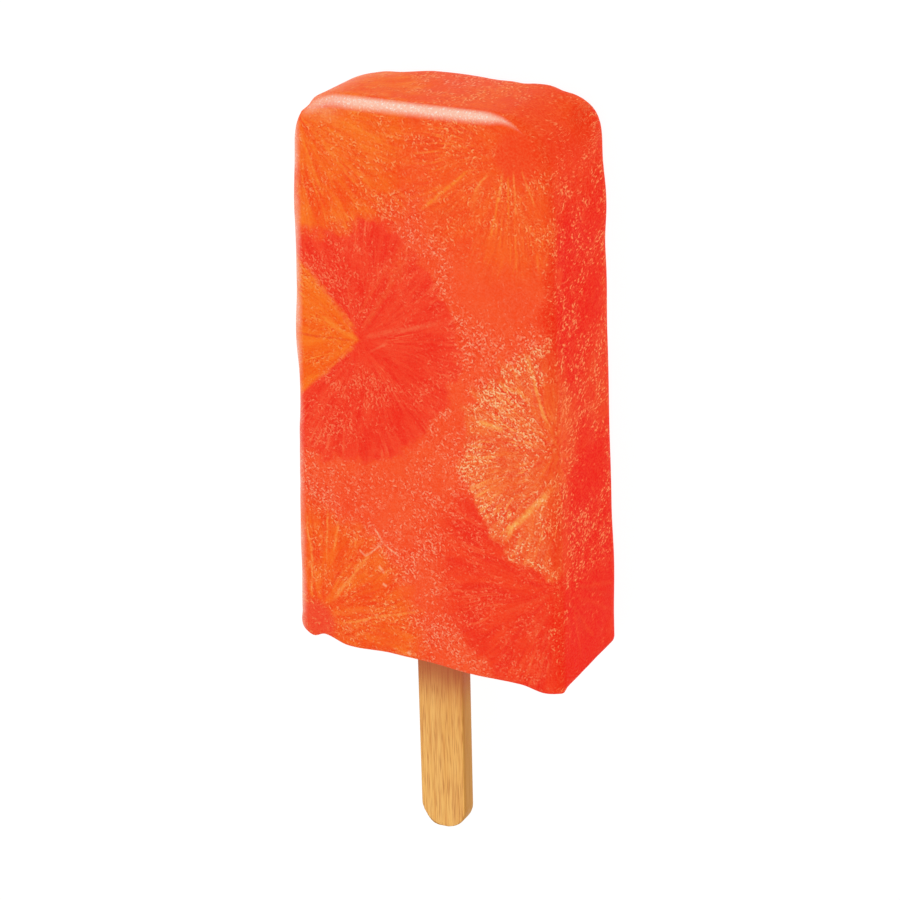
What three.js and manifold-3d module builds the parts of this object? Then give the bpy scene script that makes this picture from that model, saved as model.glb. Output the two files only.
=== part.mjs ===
// An ice lolly: a tapered bar of frozen fruit juice with thin citrus slices frozen in against
// its walls, on a flat birch stick. It lies on its flat back, with the front face up.
//
// Millimetres. +Z is up, out of the front face. +Y runs towards the bar's tip, and the stick
// comes out towards -Y. The origin is on the surface the lolly lies on, under the middle of
// its length and width.
//
// The pieces are worked out in the bar's own frame: x from the bar's middle, y from its foot
// (the stick end) and z from its back. The group at the end moves them to the origin above.

import * as THREE from 'three';
import { mergeVertices } from 'three/addons/utils/BufferGeometryUtils.js';
import Module from 'manifold-3d';

const wasm = await Module();
wasm.setup();

// ---- Driving dimensions: the bar ----
const BAR_LENGTH = 103.8;
const FOOT_WIDTH = 54;
const TIP_WIDTH = 47.9;
const FOOT_DEPTH = 24;
const TIP_DEPTH = 22.9;
const TIP_CORNER_RADIUS = 9; // the two rounded corners of the tip, seen from the front
const FRONT_TIP_RADIUS = 1.8; // the edge between the front and the tip
const BACK_TIP_RADIUS = 5; // the edge between the back and the tip
const LONG_EDGE_RADIUS = 1.9; // the four edges that run from foot to tip
const FOOT_EDGE_RADIUS = 0.6;

// ---- Driving dimensions: the stick ----
const STICK_LENGTH = 100;
const STICK_OUT = 41.55; // the length that shows below the bar
const STICK_WIDTH = 9.55;
const STICK_THICKNESS = 3.6;
const STICK_ASIDE = -3.2; // its centreline, from the bar's middle
const STICK_RAISED = 12; // its mid-thickness, from the bar's back
const STICK_EDGE = 0.4; // the tumbled edge

// ---- Driving dimensions: the citrus slices ----
const SLICE_THICKNESS = 3;
const SLICE_LOBES = 7; // gentle lobes round a slice's rim
const SLICE_LOBE_SHARE = 0.02; // their height, as a share of the radius
const FLAT_REACH = 0.55; // how far a slice in the middle of a wall bends down the next one

// Each slice is soft and was pressed against the mould, so it follows the bar's walls and bends
// round its edges. `at` is its middle on the wall, and `facing` the way that wall looks there.
// A slice earlier in the list covers a later one where the two meet.
const SLICES = [
  { name: 'slice_orange_tip', at: [-21.5, 99.5, 22], radius: 21, facing: [-1, 1, 1], flesh: 'orange' },
  { name: 'slice_blood_front', at: [-16.6, 60.6, 23.4], radius: 24.6, facing: [0, 0, 1], flesh: 'blood' },
  { name: 'slice_orange_edge', at: [26, 46, 23], radius: 21.5, facing: [1, 0, 1], flesh: 'orange' },
  { name: 'slice_blood_tip', at: [19.5, 98.5, 22], radius: 20, facing: [1, 1, 1], flesh: 'blood' },
  { name: 'slice_orange_foot', at: [-25.5, 1, 23], radius: 22, facing: [-1, -1, 1], flesh: 'orange' },
  { name: 'slice_blood_foot', at: [25.5, 20.5, 23], radius: 21.5, facing: [1, 0, 1], flesh: 'blood' },
  { name: 'slice_orange_back', at: [7, 78, 0.5], radius: 20.5, facing: [0, 0, -1], flesh: 'orange' },
  { name: 'slice_blood_back', at: [-15, 32, 0.5], radius: 20, facing: [0, 0, -1], flesh: 'blood' },
];

const CUT_GAP = 0.3; // the clearance between pieces that touch

// ---- Unevenness of the mould's walls and of the thaw: [from the foot, outwards, spread] ----
const RIGHT_WALL_SWELLS = [
  [84, 0.5, 5],
  [70, 0.2, 6],
  [54, 0.1, 9],
  [32, 0.1, 7],
  [16, 0.3, 7],
];
const LEFT_WALL_SWELLS = [
  [83, 0.26, 6],
  [60, 0.32, 5],
  [49, -0.32, 6],
  [21, 0.24, 6],
];
const FRONT_WAVE_HEIGHT = 0.18;
const FRONT_WAVE_ACROSS = 31; // the front's long waves, from crest to crest
const FRONT_WAVE_ALONG = 37;
const FRONT_WAVE_SHIFT = 0.6; // where across the front they start, in radians

// ---- Corners of the foot that broke off as the bar left its mould ----
const CHIPS = [
  { at: [-27, 0, 24], deep: 1.5, lean: [0.75, 1, 0.25] },
  { at: [27, 0, 24], deep: 0.35, lean: [-1, 0.9, 0.6] },
];
const CHIP_TOOL = 12; // the block that takes a chip off, larger than any chip

// ---- How finely the curved forms are faceted ----
const FINE = { front: 8, side: 4, back: 3, edge: 3, length: 12, corner: 6, tipEdge: 3, footEdge: 2 };
const PLAIN = { front: 3, side: 2, back: 2, edge: 1, length: 5, corner: 4, tipEdge: 1, footEdge: 1 };
const SLICE_SIDES = 36;
const SLICE_RINGS = 12;
const STICK_END_STEPS = 12;
const STICK_EDGE_STEPS = 1;
const SMALLEST_RADIUS = 0.4; // of an edge that an inset has used up
const SAME_STATION = 0.1; // two sections closer than this are one
const SAME_POINT = 1e-4; // two vertices closer than this are one

// A closed geometry as a solid that can be joined and cut.
function solidOf(geometry) {
  const bare = geometry.clone();
  bare.deleteAttribute('normal');
  bare.deleteAttribute('uv');
  const merged = mergeVertices(bare, SAME_POINT);
  return new wasm.Manifold(
    new wasm.Mesh({
      numProp: 3,
      vertProperties: new Float32Array(merged.attributes.position.array),
      triVerts: new Uint32Array(merged.index.array),
    })
  );
}

// A solid as a flat-shaded geometry.
function geometryOf(solid) {
  const mesh = solid.getMesh();
  const geometry = new THREE.BufferGeometry();
  geometry.setAttribute('position', new THREE.BufferAttribute(mesh.vertProperties, 3));
  geometry.setIndex(new THREE.BufferAttribute(mesh.triVerts, 1));
  const flat = geometry.toNonIndexed();
  flat.computeVertexNormals();
  return flat;
}

// How far a rounded edge draws a wall in, at a distance from the end that the edge meets.
function drawnIn(toEnd, radius) {
  const short = radius - THREE.MathUtils.clamp(toEnd, 0, radius);
  return radius - Math.sqrt(radius * radius - short * short);
}

// Smooth swells along a side wall.
function swell(swells, along) {
  let out = 0;
  for (const [middle, height, spread] of swells) {
    out += height * Math.exp(-(((along - middle) / spread) ** 2));
  }
  return out;
}

// The front's gentle waves, which die out towards the foot and the tip.
function frontWave(x, along) {
  const fade = Math.sin((Math.PI * THREE.MathUtils.clamp(along, 0, BAR_LENGTH)) / BAR_LENGTH);
  const across = Math.sin((2 * Math.PI * x) / FRONT_WAVE_ACROSS + FRONT_WAVE_SHIFT);
  const lengthwise = Math.sin((2 * Math.PI * along) / FRONT_WAVE_ALONG);
  return FRONT_WAVE_HEIGHT * fade * across * lengthwise;
}

// What an inset leaves of an edge's radius.
function radiusLeft(radius, inset) {
  return Math.max(radius - inset, SMALLEST_RADIUS);
}

// The walls of the bar's cross-section at a distance from the foot, drawn in by an inset.
function sectionAt(along, inset) {
  const share = along / BAR_LENGTH;
  const width = THREE.MathUtils.lerp(FOOT_WIDTH, TIP_WIDTH, share);
  const depth = THREE.MathUtils.lerp(FOOT_DEPTH, TIP_DEPTH, share);
  const drawn = inset + drawnIn(along - inset, FOOT_EDGE_RADIUS);
  const toTip = BAR_LENGTH - inset - along;
  const half = width / 2 - drawn - drawnIn(toTip, radiusLeft(TIP_CORNER_RADIUS, inset));
  const front = depth - drawn - drawnIn(toTip, radiusLeft(FRONT_TIP_RADIUS, inset));
  const back = drawn + drawnIn(toTip, radiusLeft(BACK_TIP_RADIUS, inset));
  return { half, front, back, edge: radiusLeft(LONG_EDGE_RADIUS, inset) };
}

// The points of a rounded rectangle, as places along its flats and directions round its
// corners: from the front over the right side, the back and the left side.
function ringTemplate(detail) {
  const flats = [
    { from: [-1, 1], to: [1, 1], facing: 0, steps: detail.front },
    { from: [1, 1], to: [1, -1], facing: 1, steps: detail.side },
    { from: [1, -1], to: [-1, -1], facing: 2, steps: detail.back },
    { from: [-1, -1], to: [-1, 1], facing: 3, steps: detail.side },
  ];
  const ring = [];
  for (const { from, to, facing, steps } of flats) {
    for (let i = 0; i <= steps; i++) {
      const x = THREE.MathUtils.lerp(from[0], to[0], i / steps);
      const z = THREE.MathUtils.lerp(from[1], to[1], i / steps);
      ring.push({ x, z, turn: (facing * Math.PI) / 2 });
    }
    for (let i = 1; i < detail.edge; i++) {
      ring.push({ x: to[0], z: to[1], turn: ((facing + i / detail.edge) * Math.PI) / 2 });
    }
  }
  return ring;
}

// The distances from the foot at which the bar gets a section: close together on its rounded
// ends, and evenly spread between them.
function stations(detail, inset) {
  const foot = inset;
  const tip = BAR_LENGTH - inset;
  const found = [foot, tip];
  const addArc = (end, radius, steps, sign) => {
    for (let i = 0; i < steps; i++) {
      const angle = (i / steps) * (Math.PI / 2);
      found.push(end + sign * radius * (1 - Math.sin(angle)));
    }
  };
  addArc(foot, FOOT_EDGE_RADIUS, detail.footEdge, 1);
  addArc(tip, radiusLeft(TIP_CORNER_RADIUS, inset), detail.corner, -1);
  addArc(tip, radiusLeft(FRONT_TIP_RADIUS, inset), detail.tipEdge, -1);
  const straight = tip - (TIP_CORNER_RADIUS - inset) - foot - FOOT_EDGE_RADIUS;
  for (let i = 1; i < detail.length; i++) {
    found.push(foot + FOOT_EDGE_RADIUS + (straight * i) / detail.length);
  }
  found.sort((a, b) => a - b);
  return found.filter((along, i) => i === 0 || i === found.length - 1 || along - found[i - 1] > SAME_STATION);
}

// The bar without slices or stick: a closed cylinder whose rings are moved to the sections.
function barForm(detail, inset) {
  const ring = ringTemplate(detail);
  const heights = stations(detail, inset);
  const rows = heights.length - 1;
  const geometry = new THREE.CylinderGeometry(1, 1, 1, ring.length, rows);
  const position = geometry.attributes.position;
  const point = new THREE.Vector3();
  for (let i = 0; i < position.count; i++) {
    point.fromBufferAttribute(position, i);
    const along = heights[Math.round((point.y + 0.5) * rows)];
    const { half, front, back, edge } = sectionAt(along, inset);
    const middle = (front + back) / 2;
    const turnShare = Math.atan2(point.x, point.z) / (2 * Math.PI);
    const place = ring[(Math.round(turnShare * ring.length) + ring.length) % ring.length];
    const rim = Math.round(Math.hypot(point.x, point.z)); // 0 at the middle of an end cap
    let x = rim * (place.x * (half - edge) + edge * Math.sin(place.turn));
    let z = middle + rim * (place.z * ((front - back) / 2 - edge) + edge * Math.cos(place.turn));
    if (inset === 0) {
      const sideShare = x / half;
      x += sideShare * swell(sideShare > 0 ? RIGHT_WALL_SWELLS : LEFT_WALL_SWELLS, along);
      const frontShare = Math.max((z - middle) / (front - middle), 0);
      z += frontShare * frontWave(x, along);
    }
    position.setXYZ(i, x, along, z);
  }
  return solidOf(geometry);
}

// A block that takes one chip off a corner of the foot.
function chipTool({ at, deep, lean }) {
  const inwards = new THREE.Vector3(lean[0], lean[1], -lean[2]).normalize();
  const geometry = new THREE.BoxGeometry(CHIP_TOOL, CHIP_TOOL, CHIP_TOOL);
  const turn = new THREE.Quaternion().setFromUnitVectors(new THREE.Vector3(0, 0, 1), inwards);
  geometry.applyQuaternion(turn);
  const middle = new THREE.Vector3(...at).addScaledVector(inwards, deep - CHIP_TOOL / 2);
  geometry.translate(middle.x, middle.y, middle.z);
  return solidOf(geometry);
}

// A lobed ball round a slice's middle, which marks the slice out of the bar's outer wall. It is
// flattened where the slice lies in the middle of one wall, and round where it bends over an edge.
function sliceBall({ at, radius, facing }, grown) {
  const geometry = new THREE.SphereGeometry(1, SLICE_SIDES, SLICE_RINGS);
  const position = geometry.attributes.position;
  const point = new THREE.Vector3();
  const outwards = new THREE.Vector3(...facing);
  const reach = outwards.lengthSq() > 1 ? 1 : FLAT_REACH;
  const turn = new THREE.Quaternion().setFromUnitVectors(new THREE.Vector3(0, 1, 0), outwards.normalize());
  for (let i = 0; i < position.count; i++) {
    point.fromBufferAttribute(position, i);
    const round = Math.atan2(point.x, point.z);
    const level = Math.hypot(point.x, point.z);
    const lobed = radius * (1 + SLICE_LOBE_SHARE * level * Math.sin(SLICE_LOBES * round + at[1])) + grown;
    point.y *= reach;
    point.applyQuaternion(turn).multiplyScalar(lobed);
    position.setXYZ(i, point.x + at[0], point.y + at[1], point.z + at[2]);
  }
  return solidOf(geometry);
}

// The stick: a flat strip with full-round ends and tumbled edges, as wide and thick as given.
function stickForm(grown) {
  const radius = STICK_WIDTH / 2 + grown - STICK_EDGE;
  const low = -STICK_OUT + STICK_WIDTH / 2;
  const high = STICK_LENGTH - STICK_OUT - STICK_WIDTH / 2;
  const outline = new THREE.Shape();
  outline.absarc(0, low, radius, Math.PI, 2 * Math.PI, false);
  outline.absarc(0, high, radius, 0, Math.PI, false);
  outline.closePath();
  const depth = STICK_THICKNESS + 2 * grown - 2 * STICK_EDGE;
  const geometry = new THREE.ExtrudeGeometry(outline, {
    depth,
    steps: 1,
    curveSegments: STICK_END_STEPS,
    bevelEnabled: true,
    bevelThickness: STICK_EDGE,
    bevelSize: STICK_EDGE,
    bevelSegments: STICK_EDGE_STEPS,
  });
  geometry.translate(STICK_ASIDE, 0, STICK_RAISED - depth / 2);
  return geometry;
}

// ---- Materials ----
const frozenJuice = new THREE.MeshStandardMaterial({ color: 0xf2583a, roughness: 0.35, metalness: 0 });
const fleshes = {
  orange: new THREE.MeshStandardMaterial({ color: 0xf77a2f, roughness: 0.4, metalness: 0 }),
  blood: new THREE.MeshStandardMaterial({ color: 0xec3d2a, roughness: 0.4, metalness: 0 }),
};
const birch = new THREE.MeshStandardMaterial({ color: 0xe6aa5e, roughness: 0.7, metalness: 0 });

// ---- Assembly ----
const lolly = new THREE.Group();

function add(name, geometry, material) {
  const mesh = new THREE.Mesh(geometry, material);
  mesh.name = name;
  lolly.add(mesh);
}

// The whole outer form, with the slot that holds the stick.
let form = barForm(FINE, 0).subtract(solidOf(stickForm(CUT_GAP)));
for (const chip of CHIPS) {
  form = form.subtract(chipTool(chip));
}
const underSlices = barForm(PLAIN, SLICE_THICKNESS);
const underPockets = barForm(PLAIN, SLICE_THICKNESS + CUT_GAP);

let bar = form;
const coveredBy = [];
for (const slice of SLICES) {
  let piece = form.intersect(sliceBall(slice, 0)).subtract(underSlices);
  for (const cover of coveredBy) {
    piece = piece.subtract(cover);
  }
  const pocket = sliceBall(slice, CUT_GAP);
  bar = bar.subtract(pocket.subtract(underPockets));
  coveredBy.push(pocket);
  add(slice.name, geometryOf(piece), fleshes[slice.flesh]);
}
add('bar', geometryOf(bar), frozenJuice);
add('stick', stickForm(0), birch);

lolly.position.y = (STICK_OUT - BAR_LENGTH) / 2;

export default lolly;
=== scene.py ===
"""An ice lolly: a tapered bar of frozen fruit juice with thin citrus slices frozen in against its
walls, on a flat birch stick. It lies on its flat back, with the front face up.

Sizes are in millimetres in the bar's own frame, as in the solid model: x from the bar's middle,
y from its foot (the stick end) and z from its back. `place` turns them into the row's metres.
"""

import math

import bpy
from mathutils import Matrix, Quaternion, Vector


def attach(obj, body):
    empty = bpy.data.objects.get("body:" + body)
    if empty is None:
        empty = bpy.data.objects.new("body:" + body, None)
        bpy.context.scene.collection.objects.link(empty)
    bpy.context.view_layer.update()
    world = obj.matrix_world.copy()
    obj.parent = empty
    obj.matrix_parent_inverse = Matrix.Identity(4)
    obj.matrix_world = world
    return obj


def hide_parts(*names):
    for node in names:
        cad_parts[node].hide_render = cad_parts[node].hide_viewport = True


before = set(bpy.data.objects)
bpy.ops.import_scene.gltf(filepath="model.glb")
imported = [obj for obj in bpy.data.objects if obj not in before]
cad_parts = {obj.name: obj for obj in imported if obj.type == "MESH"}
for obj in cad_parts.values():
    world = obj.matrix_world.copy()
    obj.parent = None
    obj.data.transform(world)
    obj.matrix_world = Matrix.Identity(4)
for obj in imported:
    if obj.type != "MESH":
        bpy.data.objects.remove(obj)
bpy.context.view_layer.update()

# ---- The bar ----
BAR_LENGTH = 103.8
FOOT_WIDTH = 54
TIP_WIDTH = 47.9
FOOT_DEPTH = 24
TIP_DEPTH = 22.9
TIP_CORNER_RADIUS = 9  # the two rounded corners of the tip, seen from the front
BACK_TIP_RADIUS = 5  # the edge between the back and the tip
EDGE_RADIUS = 1.85  # the long edges, and the edge between the front and the tip
FOOT_EDGE_RADIUS = 0.6
SMALLEST_RADIUS = 0.4
CORNER_STEPS = 14  # the flat strips that make up a rounding
EDGE_STEPS = 6
FOOT_EDGE_STEPS = 3

# ---- The stick ----
STICK_LENGTH = 100
STICK_OUT = 41.55  # the length that shows below the bar
STICK_WIDTH = 9.55
STICK_THICKNESS = 3.6
STICK_ASIDE = -3.2
STICK_RAISED = 12
STICK_EDGE = 0.4
STICK_END_STEPS = 20
STICK_EDGE_STEPS = 3
STICK_FULL_ROUND = STICK_WIDTH / 2.001  # a hair under half the width, so that the corners don't meet
# Tumbling left the end a little fuller on one side.
STICK_FULLER = {"at": (STICK_ASIDE - 2.5, -STICK_OUT, STICK_RAISED), "by": (-0.25, -0.7, 0), "reach": 3}

# ---- The slices: those earlier in the list cover the later ones ----
SLICE_THICKNESS = 3
SLICE_LOBES = 7
SLICE_LOBE_SHARE = 0.02
FLAT_REACH = 0.55  # how far a slice in the middle of a wall bends down the next one
SLICES = [
    {"name": "slice_orange_tip", "at": (-21.5, 99.5, 22), "radius": 21, "facing": (-1, 1, 1)},
    {"name": "slice_blood_front", "at": (-16.6, 60.6, 23.4), "radius": 24.6, "facing": (0, 0, 1)},
    {"name": "slice_orange_edge", "at": (26, 46, 23), "radius": 21.5, "facing": (1, 0, 1)},
    {"name": "slice_blood_tip", "at": (19.5, 98.5, 22), "radius": 20, "facing": (1, 1, 1)},
    {"name": "slice_orange_foot", "at": (-25.5, 1, 23), "radius": 22, "facing": (-1, -1, 1)},
    {"name": "slice_blood_foot", "at": (25.5, 20.5, 23), "radius": 21.5, "facing": (1, 0, 1)},
    {"name": "slice_orange_back", "at": (7, 78, 0.5), "radius": 20.5, "facing": (0, 0, -1)},
    {"name": "slice_blood_back", "at": (-15, 32, 0.5), "radius": 20, "facing": (0, 0, -1)},
]

# ---- Unevenness of the walls: [from the foot, outwards, spread] ----
RIGHT_WALL_SWELLS = [(84, 0.5, 5), (70, 0.2, 6), (54, 0.1, 9), (32, 0.1, 7), (16, 0.3, 7)]
LEFT_WALL_SWELLS = [(83, 0.26, 6), (60, 0.32, 5), (49, -0.32, 6), (21, 0.24, 6)]
SWELL_REACH = 1.66  # spreads: a soft falloff as wide as this has a swell's half height in its place
WALL_START = TIP_WIDTH / 2 - 2  # what lies farther from the middle than this is a side wall

# ---- Corners of the foot that broke off as the bar left its mould ----
CHIPS = [
    {"at": (-27, 0, 24), "deep": 1.5, "lean": (0.75, 1, -0.25)},
    {"at": (27, 0, 24), "deep": 0.35, "lean": (-1, 0.9, -0.6)},
]

# ---- Where the thaw and the mould left the edges uneven: a point of the skin is drawn along, and its
# surroundings follow ----
PULLS = [
    {"at": (-20, 102, 3), "by": (0.25, -0.35, 0), "reach": 5},
    {"at": (-15, 103, 3), "by": (0, -1.0, 0), "reach": 9},
    {"at": (-2, 103, 3), "by": (0, 0.15, 0), "reach": 8},
    {"at": (6, 103, 3), "by": (0, -0.1, 0), "reach": 4},
    {"at": (10.5, 103, 3), "by": (0, -0.2, 0), "reach": 2.5},
    {"at": (14, 103, 3), "by": (0, 0.15, 0), "reach": 3.5},
    {"at": (17.5, 103, 3), "by": (0, -0.2, 0), "reach": 2.5},
    {"at": (22, 99.5, 5), "by": (0.9, 0.7, 0), "reach": 7},
    {"at": (-21, 100.5, 21), "by": (0.3, -0.35, 0), "reach": 2},
    {"at": (-16, 0, 24), "by": (0, -0.7, 0), "reach": 8},
    {"at": (-21.5, 0, 24), "by": (0, 0.7, 0), "reach": 4.5},
    {"at": (-23.9, 0, 24), "by": (0, -0.6, 0), "reach": 2.2},
    {"at": (8, 0, 24), "by": (0, -0.4, 0), "reach": 9},
    {"at": (23.3, 0, 24), "by": (0, -0.7, 0), "reach": 4.5},
    {"at": (26.2, 0, 22.5), "by": (0.15, -0.3, 0), "reach": 1.5},
    {"at": (-27, 2.5, 23), "by": (-0.25, 0, 0), "reach": 2},
]

THAW_DEPTH = 0.35  # the thawed unevenness of the walls, from hollow to crest
THAW_ACROSS = 13  # from crest to crest
THAW_FROM = 2  # it starts this far up from the back, which lies flat
THAW_FULL = 6
SKIN_FACET = 0.5  # the facets of the bar's finished skin
STICK_FACET = 0.35
BALL_COLUMNS = 84
BALL_ROWS = 42
SMOOTH_UP_TO = 35  # degrees: a sharper fold than this shows as an edge

JUST = 0.1  # places no farther apart than this count as one height or one line
SAME_PLACE = 0.01


def place(x, y, z):
    """A point of the bar's own frame as a place in the row's frame, in metres."""
    return Vector((x, y + (STICK_OUT - BAR_LENGTH) / 2, z)) / 1000


def in_bar(point):
    """The other way: a place in the row's frame as millimetres in the bar's own frame."""
    return Vector((point.x * 1000, point.y * 1000 - (STICK_OUT - BAR_LENGTH) / 2, point.z * 1000))


# ---------------------------------------------------------------- handwork


def take_up(piece):
    """Leaves edit mode and selects this piece alone."""
    if bpy.context.object and bpy.context.object.mode != "OBJECT":
        bpy.ops.object.mode_set(mode="OBJECT")
    bpy.ops.object.select_all(action="DESELECT")
    if piece:
        piece.select_set(True)
        bpy.context.view_layer.objects.active = piece


def pick(piece, kind, wanted):
    """Goes into edit mode with only the wanted ones of the mesh's vertices or edges selected."""
    take_up(piece)
    bpy.ops.object.mode_set(mode="EDIT")
    bpy.ops.mesh.select_mode(type=kind)
    bpy.ops.mesh.select_all(action="DESELECT")
    bpy.ops.object.mode_set(mode="OBJECT")
    for part in piece.data.vertices if kind == "VERT" else piece.data.edges:
        part.select = wanted(part)
    bpy.ops.object.mode_set(mode="EDIT")


def pick_points(piece, wanted):
    """Picks the vertices whose place in the bar's frame is wanted."""
    pick(piece, "VERT", lambda vertex: wanted(in_bar(vertex.co)))


def ends_of(piece, edge):
    """The places of an edge's two ends in the bar's frame."""
    return [in_bar(piece.data.vertices[i].co) for i in edge.vertices]


def pick_edges(piece, wanted):
    """Picks the edges whose two ends, in the bar's frame, are wanted."""
    pick(piece, "EDGE", lambda edge: wanted(*ends_of(piece, edge)))


def draw_along(by, reach):
    """Moves what is picked, and its surroundings softly with it. Both values are in metres."""
    bpy.ops.transform.translate(
        value=by,
        use_proportional_edit=True,
        proportional_edit_falloff="SMOOTH",
        proportional_size=reach,
    )


def round_off(radius, steps):
    """Rounds the picked edges. The radius is in metres."""
    bpy.ops.mesh.bevel(offset=radius, segments=steps, affect="EDGES")


def use_modifier(piece, kind, **settings):
    """Adds a modifier with these settings and applies it."""
    take_up(piece)
    modifier = piece.modifiers.new(kind.lower(), kind)
    for name, value in settings.items():
        setattr(modifier, name, value)
    bpy.ops.object.modifier_apply(modifier=modifier.name)


def copy_of(piece, name):
    """A copy with a mesh of its own."""
    twin = piece.copy()
    twin.data = piece.data.copy()
    twin.name = name
    bpy.context.collection.objects.link(twin)
    return twin


def throw_away(piece):
    """Removes a helping form."""
    bpy.data.objects.remove(piece)


def block(name, middle, size):
    """A box of this size, with its place in its mesh."""
    take_up(None)
    bpy.ops.mesh.primitive_cube_add(size=1, location=place(*middle), scale=Vector(size) / 1000)
    piece = bpy.context.object
    piece.name = name
    bpy.ops.object.transform_apply()
    return piece


# ---------------------------------------------------------------- the bar's form


def radius_left(radius, inset):
    """What an inset leaves of an edge's radius, in metres."""
    return max(radius - inset, SMALLEST_RADIUS) / 1000


def bar_form(name, inset):
    """The whole bar without slices or stick, drawn in by an inset: a tapered block with its edges
    rounded."""
    middle = (0, BAR_LENGTH / 2, FOOT_DEPTH / 2)
    size = (FOOT_WIDTH - 2 * inset, BAR_LENGTH - 2 * inset, FOOT_DEPTH - 2 * inset)
    form = block(name, middle, size)
    foot = inset
    tip = BAR_LENGTH - inset

    pick_points(form, lambda p: p.y > BAR_LENGTH / 2)
    taper = (TIP_WIDTH / FOOT_WIDTH, 1, TIP_DEPTH / FOOT_DEPTH)
    bpy.ops.transform.resize(value=taper, center_override=place(0, tip, inset))

    pick_edges(form, lambda a, b: min(a.y, b.y) > tip - JUST and abs(a.z - b.z) > JUST)
    round_off(radius_left(TIP_CORNER_RADIUS, inset), CORNER_STEPS)
    pick_edges(form, lambda a, b: min(a.z, b.z) > FOOT_DEPTH / 2 and max(a.y, b.y) > foot + JUST)
    round_off(radius_left(EDGE_RADIUS, inset), EDGE_STEPS)
    round_back(form, inset)
    pick_edges(form, lambda a, b: max(a.y, b.y) < foot + JUST)
    round_off(FOOT_EDGE_RADIUS / 1000, FOOT_EDGE_STEPS)
    take_up(form)
    return form


def round_back(form, inset):
    """Rounds the edges round the back. Their radius grows along the tip's corners to the tip's own."""
    take_up(form)
    widest = radius_left(BACK_TIP_RADIUS, inset)
    weights = form.data.attributes.new("bevel_weight_edge", "FLOAT", "EDGE")
    for edge in form.data.edges:
        start, end = ends_of(form, edge)
        if max(start.z, end.z) < inset + JUST and max(start.y, end.y) > inset + JUST:
            share = ((start.y + end.y) / 2 - BAR_LENGTH + TIP_CORNER_RADIUS) / TIP_CORNER_RADIUS
            radius = EDGE_RADIUS + (BACK_TIP_RADIUS - EDGE_RADIUS) * min(max(share, 0), 1)
            weights.data[edge.index].value = radius_left(radius, inset) / widest
    use_modifier(form, "BEVEL", width=widest, segments=EDGE_STEPS, limit_method="WEIGHT")


def swell_wall(skin, side, swells):
    """Moves a side wall softly out or in at each swell. `side` is 1 for the right wall and -1 for
    the left."""
    for along, height, spread in swells:
        pick_points(skin, lambda p: side * p.x > WALL_START and abs(p.y - along) < SKIN_FACET)
        draw_along((side * height / 1000, 0, 0), SWELL_REACH * spread / 1000)


def pull_edge(skin, at, by, reach):
    """Draws the skin's nearest vertex along, and its surroundings softly with it."""
    nearest = min(skin.data.vertices, key=lambda vertex: (vertex.co - place(*at)).length_squared)
    spot = in_bar(nearest.co)
    pick_points(skin, lambda p: (p - spot).length < SAME_PLACE)
    draw_along(Vector(by) / 1000, reach / 1000)
    take_up(skin)


def thaw(skin):
    """Makes the walls softly uneven, but not the back, which lies flat."""
    clouds = bpy.data.textures.new("thaw", "CLOUDS")
    clouds.noise_scale = THAW_ACROSS / 1000
    take_up(skin)
    thawed = skin.vertex_groups.new(name="thawed")
    for vertex in skin.data.vertices:
        share = (in_bar(vertex.co).z - THAW_FROM) / (THAW_FULL - THAW_FROM)
        thawed.add([vertex.index], min(max(share, 0), 1), "REPLACE")
    use_modifier(
        skin,
        "DISPLACE",
        texture=clouds,
        vertex_group="thawed",
        strength=THAW_DEPTH / 1000,
        mid_level=0.5,
    )


def break_chip(skin, at, deep, lean):
    """Takes a corner off with a straight cut."""
    inwards = Vector(lean).normalized()
    cut_at = place(*(Vector(at) + deep * inwards))
    pick_points(skin, lambda p: True)
    bpy.ops.mesh.bisect(plane_co=cut_at, plane_no=inwards, use_fill=True, clear_inner=True)
    take_up(skin)


def bar_skin():
    """The bar's outer form with an even skin, its swells, its thawed unevenness and its chipped
    corners."""
    skin = bar_form("skin", 0)
    use_modifier(skin, "REMESH", mode="VOXEL", voxel_size=SKIN_FACET / 1000)
    use_modifier(skin, "SMOOTH", factor=0.5, iterations=2)
    swell_wall(skin, 1, RIGHT_WALL_SWELLS)
    swell_wall(skin, -1, LEFT_WALL_SWELLS)
    thaw(skin)
    for pull in PULLS:
        pull_edge(skin, **pull)
    for chip in CHIPS:
        break_chip(skin, **chip)
    return skin


# ---------------------------------------------------------------- slices


def lobed_ball():
    """A ball of radius 1 with gentle lobes round its equator, which all slices' cutters are copied
    from. Its columns of vertices are scaled one after the other."""
    take_up(None)
    bpy.ops.mesh.primitive_uv_sphere_add(segments=BALL_COLUMNS, ring_count=BALL_ROWS, radius=1)
    ball = bpy.context.object
    step = 2 * math.pi / BALL_COLUMNS

    def column_of(vertex):
        at_pole = math.hypot(vertex.co.x, vertex.co.y) < 0.01
        return None if at_pole else round(math.atan2(vertex.co.y, vertex.co.x) / step) % BALL_COLUMNS

    for column in range(BALL_COLUMNS):
        pick(ball, "VERT", lambda vertex: column_of(vertex) == column)
        lobe = 1 + SLICE_LOBE_SHARE * math.sin(SLICE_LOBES * (column * step + math.pi / 2))
        bpy.ops.transform.resize(value=(lobe, lobe, 1), center_override=(0, 0, 0))
    take_up(ball)
    return ball


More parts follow.
